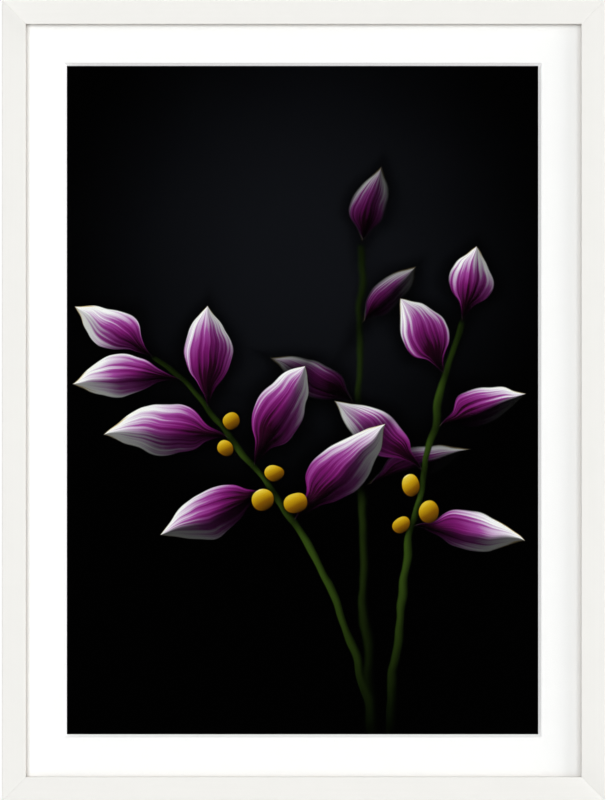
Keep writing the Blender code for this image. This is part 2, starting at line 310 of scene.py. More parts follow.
PAINT_CLOUD = 18 * MM
PAINT_ROUGHNESS = 0.42
PINE_LIGHT = (214, 184, 140)
PINE_DARK = (183, 146, 98)
PINE_ROUGHNESS = 0.75
GRAIN_WAVES = (9.0, 900.0)
RING_WAVES = (14.0, 420.0)
FIBRE_WAVES = (60.0, 3600.0)
RING_SHARE = 0.65
GRAIN_HEIGHT = 0.04 * MM
RAILS = {
    # outward direction, and how much painted light (plus) or painted shade (minus) lies on the paint towards
    # the mitre at its start and at its end
    "rail_top": ((0, 1), 0.6, 0.0),
    "rail_right": ((1, 0), 0.0, -1.0),
    "rail_bottom": ((0, -1), 0.6, 0.0),
    "rail_left": ((-1, 0), 0.0, -1.0),
}


def arc(middle, radius, start):
    """A quarter circle of points: the middle plus the radius times the cosine and sine of even angles."""
    angles = np.radians(start + np.linspace(0, 90, EASE_STEPS + 1))
    return np.column_stack([middle[0] + radius * np.cos(angles), middle[1] + radius * np.sin(angles)])


def braced(outline):
    """Adds a point just inside each end of every long side, so that shading turns at the eased edges only."""
    onward = np.roll(outline, -1, axis=0) - outline
    length = np.linalg.norm(onward, axis=1, keepdims=True)
    step = onward / length * BRACE
    points = np.stack([outline, outline + step, outline + onward - step], axis=1)
    long_side = length[:, 0] > 4 * BRACE
    return points[np.column_stack([np.ones_like(long_side), long_side, long_side])]


def grid_faces(rows, columns, closed_rows=False, closed_columns=False):
    """The four-sided faces of a grid of points, which may close on itself either way."""
    row = np.arange(rows if closed_rows else rows - 1)[:, None]
    column = np.arange(columns if closed_columns else columns - 1)[None, :]
    next_row = (row + 1) % rows
    next_column = (column + 1) % columns
    faces = [row * columns + column, row * columns + next_column]
    faces += [next_row * columns + next_column, next_row * columns + column]
    return np.stack(np.broadcast_arrays(*faces), axis=-1).reshape(-1, 4)


def piece(name, points, faces, material, slot, nodes, caps=(), **attributes):
    """A new piece of the object from points and faces, with what it replaces and its values by point."""
    mesh = bpy.data.meshes.new(name)
    faces = faces.tolist() + [list(cap) for cap in caps]
    mesh.from_pydata(points.reshape(-1, 3).tolist(), [], faces, False)
    for attribute, values in attributes.items():
        layer = mesh.attributes.new(attribute, "FLOAT", "POINT")
        layer.data.foreach_set("value", np.asarray(values, np.float32).ravel())
    mesh.set_sharp_from_angle(angle=math.radians(SHARP_ANGLE))
    mesh.materials.append(material)
    made = bpy.data.objects.new(name, mesh)
    bpy.context.scene.collection.objects.link(made)
    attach(made, "root")
    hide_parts(*nodes)
    return made


def bump(wire, height, distance):
    """A surface normal raised by a height of 0 to 1, over a distance in metres."""
    sockets = {"Height": height, "Distance": distance, "Strength": 1.0}
    return wire.node("ShaderNodeBump", sockets=sockets)


def by_point(wire, attribute):
    """The value that a piece's points carry under a name."""
    return wire.node("ShaderNodeAttribute", {"attribute_name": attribute}, output="Fac")


def drawn_out(wire, along, around, waves, detail):
    """Noise with so many waves a metre along the rail, and so many a metre around its section."""
    place = wire.node("ShaderNodeCombineXYZ", sockets={"X": along * waves[0], "Y": around * waves[1]})
    return noise(wire, place, detail)


rail_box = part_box("rail_left")
rail_face = rail_box[1].x - rail_box[0].x
rail_depth = rail_box[1].y - rail_box[0].y
rail_back = rail_face - RABBET_WIDTH
sight_edge = rail_face - SIGHT_SANDING
section = braced(
    np.concatenate(
        [
            arc((rail_back - BACK_EASE, rail_depth - BACK_EASE), BACK_EASE, 0),
            arc((BACK_EASE, rail_depth - BACK_EASE), BACK_EASE, 90),
            arc((FRONT_EASE, FRONT_EASE), FRONT_EASE, 180),
            arc((sight_edge - SIGHT_EASE, SIGHT_EASE), SIGHT_EASE, 270),
            arc((sight_edge - LIP_EASE, LIP_THICKNESS - LIP_EASE), LIP_EASE, 0),
            [(rail_back, LIP_THICKNESS)],
        ]
    )
)


def rail_points(outward, front, middle, half_across, half_along):
    """The section carried from mitre to mitre.

    A point lies its own distance in from the outer edge, and the rail is shorter there by that distance.
    Its last quarter of a millimetre dips a little at the front, as the eased edge of the mitre.
    """
    eased = np.linspace(0, 1, MITRE_EASE_STEPS) ** 2 * MITRE_EASE_REACH
    # Rows near each mitre, which carry the painted shade and painted light that fade away from it.
    shading_rows = np.linspace(*MITRE_SHADING_SPAN, MITRE_SHADING_STEPS) * MM
    near = np.concatenate([eased, shading_rows])
    from_mitre = np.concatenate([near, near[::-1]])
    end = np.repeat([-1.0, 1.0], len(near))
    inset, depth = section[:, 0], section[:, 1]
    along = end[:, None] * (half_along - MITRE_GAP - from_mitre[:, None] - inset)
    dip = MITRE_EASE * np.clip(1 - from_mitre / MITRE_EASE_REACH, 0, 1) ** 2
    sunk = depth + dip[:, None] * (depth < FRONT_EASE)
    across = np.broadcast_to(half_across - inset, along.shape)
    outward = np.array(outward)
    forward = np.array([outward[1], -outward[0]])
    flat = outward * across[..., None] + forward * along[..., None]
    points = np.stack([middle.x + flat[..., 0], front + sunk, middle.z + flat[..., 1]], axis=-1)
    return points, along, from_mitre, end


material, paint = finish("satin_white_paint", {"Specular IOR Level": 0.4})
along, around = by_point(paint, "along"), by_point(paint, "around")
grain = drawn_out(paint, along, around, GRAIN_WAVES, 3.0)
growth_rings = drawn_out(paint, along, around, RING_WAVES, 4.0).smooth(0.3, 0.7)
fibres = drawn_out(paint, along, around, FIBRE_WAVES, 3.0).smooth(0.3, 0.7)
pine_shade = growth_rings * RING_SHARE + fibres * (1 - RING_SHARE)
pine = mix(pine_shade, tone(*PINE_LIGHT), tone(*PINE_DARK))
cloud = noise(paint, object_place(paint, PAINT_CLOUD))
# The paint's tone varies at random, and near the mitres it also carries painted shade or painted light.
paint_tone_and_mitre_shading = (grain + cloud) * 0.5 + by_point(paint, "shift")
white = mix(paint_tone_and_mitre_shading, tone(*PAINT_TONE, by=-4), tone(*PAINT_TONE, by=3))
coated = (by_point(paint, "painted") + (grain - 0.5) * 0.5).smooth(0.35, 0.65)
smoother = coated * (PINE_ROUGHNESS - PAINT_ROUGHNESS)
shade(
    paint,
    {
        "Base Color": mix(coated, pine, white),
        "Roughness": PINE_ROUGHNESS - smoother + cloud * 0.06,
        "Normal": bump(paint, grain * (1.0 - coated * 0.75), GRAIN_HEIGHT),
    },
)

section_length = np.linalg.norm(np.diff(section, axis=0), axis=1)
around_section = np.concatenate([[0], np.cumsum(section_length)])
on_back = section[:, 1] > rail_depth - BACK_EASE
behind_lip = (section[:, 1] > LIP_THICKNESS - BRACE) & (section[:, 0] > rail_back - BRACE)
halves = (high - low) / 2
for number, (rail, (outward, start_mitre_shading, end_mitre_shading)) in enumerate(RAILS.items()):
    upright = outward[1] == 0
    half_across, half_along = (halves.x, halves.z) if upright else (halves.z, halves.x)
    points, along, from_mitre, end = rail_points(outward, low.y, centre, half_across, half_along)
    rows, columns = points.shape[:2]
    # Painted shade or painted light, fading away from each mitre.
    shift = np.where(end < 0, start_mitre_shading, end_mitre_shading) * np.exp(-from_mitre / MITRE_SHADING_REACH)
    piece(
        rail.replace("rail", "moulding"),
        points,
        grid_faces(rows, columns, closed_columns=True),
        material,
        "frame_paint",
        [rail],
        caps=(range(columns)[::-1], range((rows - 1) * columns, rows * columns)),
        along=along + number,
        around=np.broadcast_to(around_section, (rows, columns)),
        painted=np.broadcast_to(~(on_back | behind_lip), (rows, columns)),
        shift=np.broadcast_to(shift[:, None], (rows, columns)),
    )


# The glazing is one sheet of 2 mm picture glass with an anti-reflection coat, cut 2 mm smaller than the
# rabbet. It lies straight behind the rails' lip. The coat leaves a faint mirror, a little uneven from wiping.
COATED_GLASS_IOR = 1.16
GLASS_TINT = (0.999, 1.0, 0.999, 1.0)
GLASS_ROUGHNESS = 0.02
WIPE_SIZE = (60 * MM, 60 * MM, 9 * MM)
WIPE_SHARE = 0.15


def dress(material, *nodes):
    """Gives CAD nodes, whose shape is right as it is, their finish."""
    for node in nodes:
        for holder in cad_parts[node].material_slots:
            holder.material = material


material, glass = finish("coated_picture_glass", {})
fresnel = glass.node("ShaderNodeFresnel", sockets={"IOR": COATED_GLASS_IOR})
wiped = noise(glass, object_place(glass, *WIPE_SIZE), 3.0).smooth(0.45, 0.75)
clear = glass.node("ShaderNodeBsdfTransparent", sockets={"Color": GLASS_TINT}, output="BSDF")
mirror = glass.node("ShaderNodeBsdfAnisotropic", sockets={"Roughness": GLASS_ROUGHNESS}, output="BSDF")
leaving = glass.node("ShaderNodeNewGeometry", output="Backfacing")
share = fresnel * (1.0 + wiped * WIPE_SHARE) * (1.0 - leaving)
both = glass.node("ShaderNodeMixShader", sockets={0: share, 1: clear, 2: mirror}, output="Shader")
glass.tree.links.new(both.socket, glass.tree.nodes["Material Output"].inputs["Surface"])
glass.tree.nodes.remove(glass.tree.nodes["Principled BSDF"])
dress(material, "glazing")


# The mat is 1.9 mm cotton board, white right through. Its window is cut at 45 degrees, so the core shows as
# a narrow band round the print, a little whiter than the smooth paper that faces the board. The window was
# cut by hand, and lies a little to the left of the middle and above it.
BEVEL_ARRIS = 0.05 * MM
WINDOW_LAP = (2.5 * MM, 3.0 * MM)
WINDOW_SHIFT = (-0.6 * MM, 0.25 * MM)
MAT_TONE = (248, 248, 247)
MAT_CORE_TONE = (252, 252, 252)
MAT_FIBRE = (0.9 * MM, 0.9 * MM, 0.5 * MM)
MAT_CLOUD = 25 * MM
MAT_FIBRE_HEIGHT = 0.03 * MM


def rings(half_width, half_height, middle_width, middle_height, depth):
    """Rectangles carried through a run of sizes and depths, with corners at plus and minus the halves."""
    side = np.array([-1, 1, 1, -1])[:, None]
    rise = np.array([-1, -1, 1, 1])[:, None]
    across = middle_width + side * half_width
    up = middle_height + rise * half_height
    return np.stack(np.broadcast_arrays(across, low.y + np.asarray(depth), up), axis=-1)


mat_low, mat_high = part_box("mat")
stack_half_width = (mat_high.x - mat_low.x) / 2
stack_half_height = (mat_high.z - mat_low.z) / 2
stack_middle = (mat_high.z + mat_low.z) / 2
mat_front = mat_low.y - low.y
mat_back = mat_high.y - low.y
print_low, print_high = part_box("print")
window_half_width = (print_high.x - print_low.x) / 2 - WINDOW_LAP[0]
window_half_height = (print_high.z - print_low.z) / 2 - WINDOW_LAP[1]
bevel = mat_back - mat_front
grown = np.array([bevel + 4 * BEVEL_ARRIS, bevel + BEVEL_ARRIS, bevel, 0.0])
mat_rings = rings(
    np.concatenate([[stack_half_width] * 2, window_half_width + grown]),
    np.concatenate([[stack_half_height] * 2, window_half_height + grown]),
    np.array([centre.x] * 2 + [centre.x + WINDOW_SHIFT[0]] * 4),
    np.array([stack_middle] * 2 + [centre.z + WINDOW_SHIFT[1]] * 4),
    [mat_back, mat_front, mat_front, mat_front, mat_front + BEVEL_ARRIS, mat_back],
)
material, board = finish("white_mat_board", {"Specular IOR Level": 0.15})
core = by_point(board, "core")
fibre = noise(board, object_place(board, *MAT_FIBRE), 4.0)
cloud = noise(board, object_place(board, MAT_CLOUD))
facing = mix((fibre + cloud) * 0.5, tone(*MAT_TONE, by=-2), tone(*MAT_TONE, by=2))
cut_edge = mix(fibre, tone(*MAT_CORE_TONE, by=-5), tone(*MAT_CORE_TONE, by=3))
shade(
    board,
    {
        "Base Color": mix(core, facing, cut_edge),
        "Roughness": 0.85 + core * 0.08,
        "Normal": bump(board, fibre * (1.0 + core), MAT_FIBRE_HEIGHT),
    },
)
piece(
    "bevelled_mat",
    mat_rings,
    grid_faces(4, 6, closed_rows=True, closed_columns=True)[:, ::-1],
    material,
    "mat_board",
    ["mat"],
    core=np.tile([0, 0, 0, 0, 1, 1], 4),
)


# The print is a sheet of smooth heavy paper. It carries a made-up dark still life: arching sprays of long
# striped leaves, purple with white margins, and a few yellow berries. Its lengths are millimetres from the
# middle of the frame, and x and z are the sheet's own directions.
LEAF_OUTLINE = [
    (0.0, 0.0),
    (0.07, 0.09),
    (0.2, 0.34),
    (0.42, 0.95),
    (0.52, 1.0),
    (0.72, 0.78),
    (0.9, 0.3),
    (1.0, 0.0),
]
LEAF_STOPS = [
    (0.0, tone(8, 1, 7)),
    (0.22, tone(42, 3, 28)),
    (0.40, tone(112, 22, 100)),
    (0.53, tone(150, 66, 146)),
    (0.64, tone(196, 168, 200)),
    (0.78, tone(232, 234, 234)),
    (0.95, tone(240, 240, 232)),
    (1.0, tone(206, 186, 140)),
]
LEAF_DARKER = 0.27
WHITER_AT_TIP = 0.84
WHITER_AT_MARGIN = 0.28
WHITER_IN_STREAKS = 0.44
STREAKS_ACROSS = 6.0
STREAKS_ALONG = 2.5
SEED_STEP = 7.3
LEAF_LIGHT = 0.55
LEAF_FOLD = (-0.35, 0.35)
LEAF_BASE_DARK = (-0.1, 0.45)
LEAF_SHADOW = (14.0, -2.0, 0.75)
LEAF_THINNEST = 0.1
STEM_DARK = tone(8, 14, 2)
STEM_LIGHT = tone(44, 66, 14)
STEM_THICKNESS = 5.0
STEM_TAPER = (1.15, 0.5)
STEM_END = 2.0
STEM_ROUND = (0.6, -0.5)
STEM_FADE = (-215, -80)
BERRY_STOPS = [
    (0.0, tone(30, 12, 0)),
    (0.35, tone(120, 78, 2)),
    (0.65, tone(190, 150, 12)),
    (0.92, tone(222, 196, 60)),
    (1.0, tone(246, 236, 170)),
]
BERRY_SHADOW = (1.7, 0.8, 0.8)
BERRY_EDGE = (1.05, 0.95)
BLACK = (0.0, 0.0, 0.0, 1.0)
GLOW_TONE = tone(13, 14.5, 18.5)
GLOW_RADIUS = 150
GLOW_HEIGHT = 90.0
GLOW_RISE = (1.15, 0.1)
SUN_ACROSS = -0.5
SUN_UP = 0.86
DRIFT_WAVES = 0.022
DRIFT = 14
PATCH_RISE = (-5.0, 3.0, 0.9)
PATCH_LEAST = 0.4
SPRAYS = [
    # start, heading, bend radius, length, leaves, leaf length, leaf width, lit, softness
    ((44, -216), 95, -2400, 312, 4, 66, 24, 0.35, 1.5),
    ((52, -216), 87, -1100, 268, 5, 70, 28, 1.3, 0.6),
    ((46, -216), 100, 420, 286, 7, 80, 32, 1.5, 0.4),
]
FIRST_LEAF = 0.52
LEAF_SEED = 11
BERRIES = [
    # spray, distance along its stem, distance to its left, radius, lit
    (1, 150, -8, 6.5, 0.9),
    (1, 163, 8, 6.0, 1.0),
    (1, 139, 7, 5.5, 0.85),
    (2, 171, 8, 7.0, 1.0),
    (2, 159, -7, 6.5, 0.9),
    (2, 183, -8, 6.0, 0.95),
    (2, 214, 7, 5.5, 0.9),
    (2, 225, -6, 5.0, 0.85),
]


def painter(name, inputs, paint):
    """A node group, made once and used for each leaf, that paints one over the picture behind it."""
    tree = bpy.data.node_groups.new(name, "ShaderNodeTree")
    for label in inputs:
        kind = "NodeSocketColor" if label == "behind" else "NodeSocketFloat"
        tree.interface.new_socket(label, in_out="INPUT", socket_type=kind)
    tree.interface.new_socket("picture", in_out="OUTPUT", socket_type="NodeSocketColor")
    sockets = tree.nodes.new("NodeGroupInput").outputs
    picture = paint(*[Wire(tree, sockets[label]) for label in inputs])
    tree.links.new(picture.socket, tree.nodes.new("NodeGroupOutput").inputs["picture"])
    return tree


def paint_leaf(x, z, patch, behind, base_x, base_z, heading, length, width, droop, pale, lit, soft, seed):
    """Paints one leaf. Along it, u goes from 0 at the base to 1 at the tip; across it, v from -1 to 1.

    Its midline is a parabola and its outline a curve of u: a point is inside where its distance from the
    midline is less than the outline. Its colour goes up the ramp with u, with the square of v and with fine
    streaks of v. The half that faces the sun is brighter, by the sine of the angle between leaf and sun.
    """
    sine, cosine = x.math("SINE", heading), x.math("COSINE", heading)
    dx, dz = x - base_x, z - base_z
    u = (dz * (sine / length)).plus_product(dx, cosine / length)
    straight = (dx * (0.0 - sine)).plus_product(dz, cosine)
    bent = straight.plus_product(u * u, 0.0 - droop * length)
    outline = x.node("ShaderNodeFloatCurve", {"curve": LEAF_OUTLINE}, {"Value": u})
    half = (0.0 - soft).plus_product(outline, width * 0.5)
    outside = abs(bent) - half
    v = bent / x.math("MAXIMUM", half, LEAF_THINNEST)
    streak_place = (seed * SEED_STEP).plus_product(v, STREAKS_ACROSS).plus_product(u, STREAKS_ALONG)
    streak_sockets = {"W": streak_place, "Scale": 1.0, "Detail": 2.0}
    streak = x.node("ShaderNodeTexNoise", {"noise_dimensions": "1D"}, streak_sockets)
    whiteness = (pale - LEAF_DARKER).plus_product(u, WHITER_AT_TIP)
    whiteness = whiteness.plus_product(v * v, WHITER_AT_MARGIN).plus_product(streak, WHITER_IN_STREAKS)
    colour = x.node("ShaderNodeValToRGB", {"stops": LEAF_STOPS}, {"Fac": whiteness})
    facing = (cosine * SUN_UP - sine * SUN_ACROSS) * LEAF_LIGHT
    lit = lit * patch
    halves = ((LEAF_LIGHT - facing) * lit).plus_product(v.smooth(*LEAF_FOLD), facing * lit * 2.0)
    bright = halves * u.smooth(*LEAF_BASE_DARK)
    shadowed = mix(outside.smooth(*LEAF_SHADOW), behind, BLACK)
    return mix(outside.smooth(soft, 0.0 - soft), shadowed, mix(bright, BLACK, colour))


LEAF_INPUTS = "x z patch behind base_x base_z heading length width droop pale lit soft seed".split()
leaf_painter = painter("striped_leaf", LEAF_INPUTS, paint_leaf)


def on_stem(start, heading, bend, distance):
    """The place and heading so far along a stem, an arc of radius bend that turns left if it is positive."""
    first = math.radians(heading)
    angle = first + distance / bend
    middle = (start[0] - bend * math.sin(first), start[1] + bend * math.cos(first))
    place = (middle[0] + bend * math.sin(angle), middle[1] - bend * math.cos(angle))
    return place, math.degrees(angle)


def stem(x, z, behind, start, heading, bend, length, thickness, lit, soft):
    """Paints one stem: what lies within its half thickness of the arc, between its two ends."""
    first = math.radians(heading)
    side = math.copysign(1.0, bend)
    dx = (x - (start[0] - bend * math.sin(first))) * side
    dz = (z - (start[1] + bend * math.cos(first))) * side
    radius = x.math("SQRT", x.math("MULTIPLY_ADD", dx, dx, dz * dz))
    off = radius - abs(bend)
    turned = x.math("ARCTAN2", dx, 0.0 - dz)
    distance = (turned - first) * bend
    half = thickness / 2 * (STEM_TAPER[0] - distance * (STEM_TAPER[1] / length))
    inside = (abs(off) - half).smooth(soft, -soft) * distance.smooth(-STEM_END, STEM_END)
    inside = inside * distance.smooth(length + STEM_END, length - STEM_END)
    round_side = (off * (side / thickness)).smooth(*STEM_ROUND)
    colour = mix(round_side * lit, STEM_DARK, STEM_LIGHT)
    return mix(inside * z.smooth(*STEM_FADE), behind, colour)


def berry(x, z, behind, place, radius, lit):
    """Paints one berry: a disc, lit as a ball by how far each point lies towards the light."""
    dx = (x - place[0]) * (1 / radius)
    dz = (z - place[1]) * (1 / radius)
    distance = x.math("SQRT", x.math("MULTIPLY_ADD", dx, dx, dz * dz))
    towards = dx * (0.5 * SUN_ACROSS) + dz * (0.5 * SUN_UP) + 0.5
    colour = x.node("ShaderNodeValToRGB", {"stops": BERRY_STOPS}, {"Fac": towards * lit})
    shadowed = mix(distance.smooth(*BERRY_SHADOW), behind, BLACK)
    return mix(distance.smooth(*BERRY_EDGE), shadowed, colour)


material, ink = finish("photographic_print", {"Roughness": 0.45, "Specular IOR Level": 0.05})
millimetres = object_place(ink, MM, location=centre)
wander = {"Vector": millimetres, "Scale": DRIFT_WAVES, "Detail": 2.0}
drift = ink.node("ShaderNodeTexNoise", {}, wander, "Color")
centred = {0: drift, 1: (DRIFT,) * 3, 2: (-DRIFT / 2,) * 3}
drift = ink.node("ShaderNodeVectorMath", {"operation": "MULTIPLY_ADD"}, centred)
place = ink.node("ShaderNodeVectorMath", {"operation": "ADD"}, {0: millimetres, 1: drift})
patch = ink.node("ShaderNodeSeparateXYZ", sockets={"Vector": drift}, output="Y")
patch = patch.smooth(*PATCH_RISE) + PATCH_LEAST
x = ink.node("ShaderNodeSeparateXYZ", sockets={"Vector": place}, output="X")
z = ink.node("ShaderNodeSeparateXYZ", sockets={"Vector": place}, output="Z")
glow_across = x * (1 / GLOW_RADIUS)
glow_up = (z - GLOW_HEIGHT) * (1 / GLOW_RADIUS)
from_glow = ink.math("SQRT", ink.math("MULTIPLY_ADD", glow_across, glow_across, glow_up * glow_up))
picture = mix(from_glow.smooth(*GLOW_RISE), BLACK, GLOW_TONE)
random = np.random.default_rng(LEAF_SEED)
for start, heading, bend, length, leaves, leaf_length, leaf_width, lit, soft in SPRAYS:
    picture = stem(x, z, picture, start, heading, bend, length, STEM_THICKNESS, lit, soft)
    for number in reversed(range(leaves)):
        share = number / (leaves - 1)
        base, direction = on_stem(start, heading, bend, length * (FIRST_LEAF + (1 - FIRST_LEAF) * share))
        side = 1 if number % 2 else -1
        spread = side * (68 - 38 * share) if share < 1 else 0
        turned = direction + spread + random.uniform(-9, 9)
        size = leaf_length * (1.05 - 0.3 * share) * random.uniform(0.88, 1.12)
        sockets = {
            "x": x,
            "z": z,
            "patch": patch,
            "behind": picture,
            "base_x": base[0],
            "base_z": base[1],
            "heading": math.radians(turned),
            "length": size,
            "width": leaf_width * random.uniform(0.85, 1.1),
            "droop": -0.22 * math.cos(math.radians(turned)) + random.uniform(-0.05, 0.05),
            "pale": random.uniform(-0.06, 0.08),
            "lit": lit,
            "soft": soft,
            "seed": float(number + length),
        }
        picture = ink.node("ShaderNodeGroup", {"node_tree": leaf_painter}, sockets)
for spray, distance, leftwards, radius, lit in BERRIES:
    stem_place, direction = on_stem(*SPRAYS[spray][:3], distance)
    left = math.radians(direction + 90)
    berry_place = (stem_place[0] + leftwards * math.cos(left), stem_place[1] + leftwards * math.sin(left))
    picture = berry(x, z, picture, berry_place, radius, lit)
shade(ink, {"Base Color": picture})
dress(material, "print")


# Two strips of gummed paper tape hinge the print from the back of the mat, so that it can swell and shrink
# freely. Their paper is cream, with its fibres a little cloudy.
TAPE_DARK = (214, 207, 188)
TAPE_LIGHT = (236, 231, 217)
TAPE_FIBRE = (0.7 * MM, 0.7 * MM, 2.5 * MM)
TAPE_FIBRE_HEIGHT = 0.05 * MM

material, tape = finish("gummed_tape", {"Roughness": 0.85})
fibre = noise(tape, object_place(tape, *TAPE_FIBRE), 4.0)
shade(
    tape,
    {
        "Base Color": mix(fibre, tone(*TAPE_DARK), tone(*TAPE_LIGHT)),
        "Normal": bump(tape, fibre, TAPE_FIBRE_HEIGHT),
    },
)
dress(material, "hinge_tape_left", "hinge_tape_right")


# Behind the print lies a 3 mm mount board: white paper on both faces of a foam core, whose cells show a
# little through the paper.
FOAM_LIGHT = (246, 246, 244)
FOAM_DARK = (226, 226, 222)
FOAM_CELL = 0.5 * MM
FOAM_CELL_HEIGHT = 0.02 * MM

material, foam = finish("foam_mount_board", {"Roughness": 0.8})
cell_sockets = {"Vector": object_place(foam, FOAM_CELL), "Scale": 1.0}
cells = foam.node("ShaderNodeTexVoronoi", {"feature": "F1"}, cell_sockets)
shade(
    foam,
    {
        "Base Color": mix(cells, tone(*FOAM_LIGHT), tone(*FOAM_DARK)),
        "Normal": bump(foam, cells, FOAM_CELL_HEIGHT),
    },
)
dress(material, "mount_board")


# The backing board is 2.5 mm hardboard: brown wood fibre, pressed to a smooth face in which a few long dark
# fibres show.
HARDBOARD_DARK = (114, 80, 52)
HARDBOARD_LIGHT = (148, 110, 74)
LONG_FIBRE_TONE = (84, 56, 34)
FLECK = (0.9 * MM, 0.9 * MM, 0.6 * MM)
HARDBOARD_CLOUD = 55 * MM
LONG_FIBRE = (3 * MM, 1 * MM, 0.35 * MM)
FLECK_HEIGHT = 0.05 * MM

material, hardboard = finish("brown_hardboard", {})
fleck = noise(hardboard, object_place(hardboard, *FLECK), 5.0, 0.7)
cloud = noise(hardboard, object_place(hardboard, HARDBOARD_CLOUD), 3.0)
long_fibre = noise(hardboard, object_place(hardboard, *LONG_FIBRE), 3.0).smooth(0.62, 0.72)
brown_shade = fleck.smooth(0.3, 0.7) * 0.6 + cloud * 0.4
brown = mix(brown_shade, tone(*HARDBOARD_DARK), tone(*HARDBOARD_LIGHT))
shade(
    hardboard,
    {
        "Base Color": mix(long_fibre * 0.6, brown, tone(*LONG_FIBRE_TONE)),
        "Roughness": 0.55 + fleck * 0.2,
        "Normal": bump(hardboard, fleck, FLECK_HEIGHT),
    },
)
dress(material, "backing_board")


# Fourteen framer's points hold the stack in: thin blued steel tabs, pressed with a stiffening rib, one end
# driven into the rabbet's side and the other lying over the backing board.
POINT_CORNER = 1.8 * MM
POINT_RIB = 0.25 * MM
POINT_RIB_WIDTH = 0.9 * MM
POINT_RIB_START = 7 * MM
POINT_RIB_END = 1.5 * MM
POINT_STEPS = (12, 8, 13)
SHEET_EDGE = 0.08 * MM
BLUED_DARK = (52, 52, 58)
BLUED_BRIGHT = (88, 90, 98)
STEEL_CLOUD = 2.2 * MM
STEEL_LINES = (4 * MM, 1 * MM, 0.12 * MM)
STEEL_LINE_HEIGHT = 0.01 * MM


def solid_sheet(made, thickness, edge):
    """Gives a sheet its thickness, half to each side, and eased edges."""
    shell = made.modifiers.new("thickness", "SOLIDIFY")
    shell.thickness = thickness
    shell.offset = 0
    eased = made.modifiers.new("eased_edges", "BEVEL")
    eased.width = edge
    eased.segments = 2
    eased.limit_method = "ANGLE"
    eased.angle_limit = math.radians(40)


def steel_finish(name, dark, bright, roughness):
    """Sheet metal: a cloudy tone with fine scratches, rougher where it is dull."""
    material, metal = finish(name, {"Metallic": 1.0})
    cloud = noise(metal, object_place(metal, STEEL_CLOUD), 4.0)
    lines = noise(metal, object_place(metal, *STEEL_LINES))
    shade(
        metal,
        {
            "Base Color": mix(cloud.smooth(0.25, 0.75), tone(*dark), tone(*bright)),
            "Roughness": roughness + cloud * 0.2 - lines * 0.1,
            "Normal": bump(metal, lines + cloud, STEEL_LINE_HEIGHT),
        },
    )
    return material


def point_sheet(length, width):
    """A tab with two rounded corners and a rib: half its width shrinks by a circle's rule near the end."""
    straight_steps, corner_steps, across_steps = POINT_STEPS
    straight = np.linspace(0, length - POINT_CORNER, straight_steps)
    turned = np.cos(np.radians(np.linspace(90, 2, corner_steps)[1:]))
    s = np.concatenate([straight, length + POINT_CORNER * (turned - 1)])
    near_end = np.clip(s - (length - POINT_CORNER), 0, POINT_CORNER)
    half = width / 2 - POINT_CORNER + np.sqrt(POINT_CORNER**2 - near_end**2)
    across = half[:, None] * np.linspace(-1, 1, across_steps)
    rib = POINT_RIB * np.exp(-((across / POINT_RIB_WIDTH) ** 2))
    faded = np.clip(np.minimum(s - POINT_RIB_START, length - POINT_RIB_END - s) / MM, 0, 1)[:, None]
    return np.broadcast_to(s[:, None], across.shape), across, rib * faded


blued = steel_finish("blued_steel", BLUED_DARK, BLUED_BRIGHT, 0.3)
for node in sorted(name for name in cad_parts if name.startswith("point_")):
    point_low, point_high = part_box(node)
    point_size = point_high - point_low
    middle = (point_low + point_high) / 2
    upright = node.split("_")[1] in ("left", "right")
    length, width = (point_size.x, point_size.z) if upright else (point_size.z, point_size.x)
    inward = -1.0 if (middle.x > centre.x if upright else middle.z > centre.z) else 1.0
    s, across, rib = point_sheet(length, width)
    reach = inward * (s - length / 2)
    if upright:
        points = np.stack([middle.x + reach, middle.y + rib, middle.z + across], axis=-1)
    else:
        points = np.stack([middle.x + across, middle.y + rib, middle.z + reach], axis=-1)
    faces = grid_faces(*s.shape)
    if (inward > 0) == upright:
        faces = faces[:, ::-1]
    made = piece(f"framers_{node}", points, faces, blued, "point_steel", [node])
    solid_sheet(made, point_size.y, SHEET_EDGE)


# A V-nail pins each mitre from behind: a folded strip of bright steel, driven in until it is all but flush,
# with a wing in either rail.
V_NAIL_REACH = 8.5 * MM
V_NAIL_WING = 4 * MM
V_NAIL_DEPTH = 7 * MM
V_NAIL_THICKNESS = 0.6 * MM
V_NAIL_HALF_ANGLE = math.radians(60)
V_NAIL_FOLD = 0.5 * MM
V_NAIL_RIPPLE = 0.12 * MM
V_NAIL_RIPPLES = 14
V_NAIL_PROUD = 0.08 * MM
V_NAIL_STEPS = (25, 5)
BRIGHT_STEEL_DARK = (150, 150, 152)
BRIGHT_STEEL_LIGHT = (205, 205, 205)


def v_nail_points(outward, back):
    """The strip's line from wing to wing, carried straight into the wood.

    With t from -1 to 1 along it, it goes sideways with t, and towards the corner with the root of t squared
    plus the fold squared, which rounds the fold. It ripples with the cosine of t.
    """
    line_steps, depth_steps = V_NAIL_STEPS
    corner = np.array([centre.x, centre.z]) + outward * [halves.x, halves.z]
    inward = -outward / math.sqrt(2)
    beside = np.array([-inward[1], inward[0]])
    t = np.linspace(-1, 1, line_steps)
    fold = V_NAIL_FOLD / V_NAIL_WING
    wing = np.sqrt(t**2 + fold**2) - fold
    out = V_NAIL_REACH - V_NAIL_WING * math.cos(V_NAIL_HALF_ANGLE) * wing
    out = out + V_NAIL_RIPPLE * np.cos(t * V_NAIL_RIPPLES)
    sideways = V_NAIL_WING * math.sin(V_NAIL_HALF_ANGLE) * t
    flat = corner + inward * out[:, None] + beside * sideways[:, None]
    depth = np.linspace(0, V_NAIL_DEPTH, depth_steps)[None, :]
    return np.stack(np.broadcast_arrays(flat[:, :1], back - depth, flat[:, 1:]), axis=-1)


